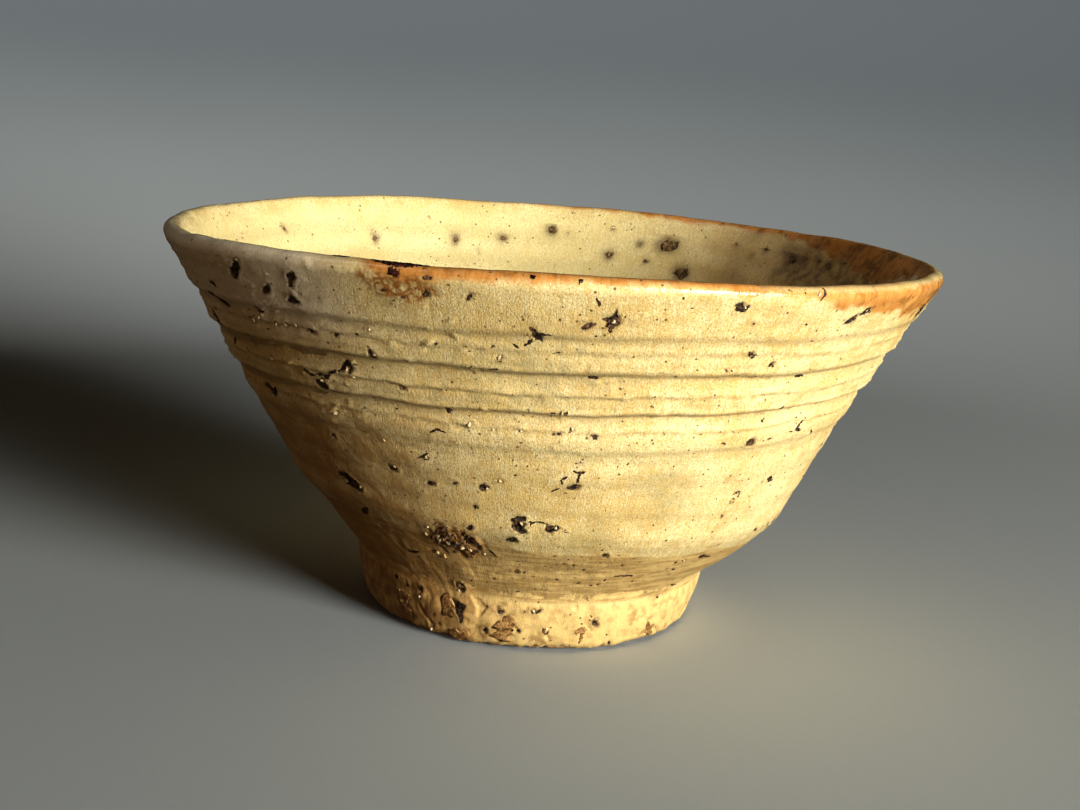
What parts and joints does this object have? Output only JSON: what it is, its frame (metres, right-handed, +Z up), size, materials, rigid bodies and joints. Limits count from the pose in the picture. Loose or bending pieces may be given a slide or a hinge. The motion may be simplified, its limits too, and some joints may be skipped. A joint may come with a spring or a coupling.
{
  "type": "tea bowl",
  "caption": "Flared stoneware tea bowl on a trimmed foot ring, with pale yellow glaze, iron bursts and an orange-flushed lip.",
  "frame": {"origin": "centre of the foot ring's rest face, on the surface that the bowl stands on", "axes": "+Z up along the turning axis to the mouth, -Y to the front of the bowl, +X to its right"},
  "size_m": [0.143, 0.143, 0.072],
  "materials": {
    "bare_clay": "dry, sandy, unglazed",
    "foot_clay": "dry, sandy, trimmed",
    "wall_glaze": "satin with fine crazing",
    "inside_glaze": "satin with fine crazing",
    "lip_flush": "glossy, iron flushed",
    "skirt_glaze": "thin, scratched, half matt",
    "foot_glaze": "thin, satin",
    "iron_stone": "fused, half gloss",
    "iron_crack": "fused, half gloss",
    "inside_spot": "under glaze, soft edged",
    "pale_grit": "sugary, satin",
    "brown_grit": "rough, matt",
    "brown_run": "satin",
    "iron_scar": "glossy, iron black"
  },
  "bodies": {
    "root": {"clay_body": "bare_clay", "foot_ring": "foot_clay", "outer_glaze": "wall_glaze", "inner_glaze": "inside_glaze", "lip_glaze": "lip_flush", "skirt_glaze": "skirt_glaze", "foot_glaze": "foot_glaze", "iron_bursts": "iron_stone", "iron_cracks": "iron_crack", "inside_spots": "inside_spot", "stone_grits": "pale_grit", "gritty_patch": "brown_grit", "foot_runs": "brown_run", "lip_scar": "iron_scar"}
  },
  "joints": []
}
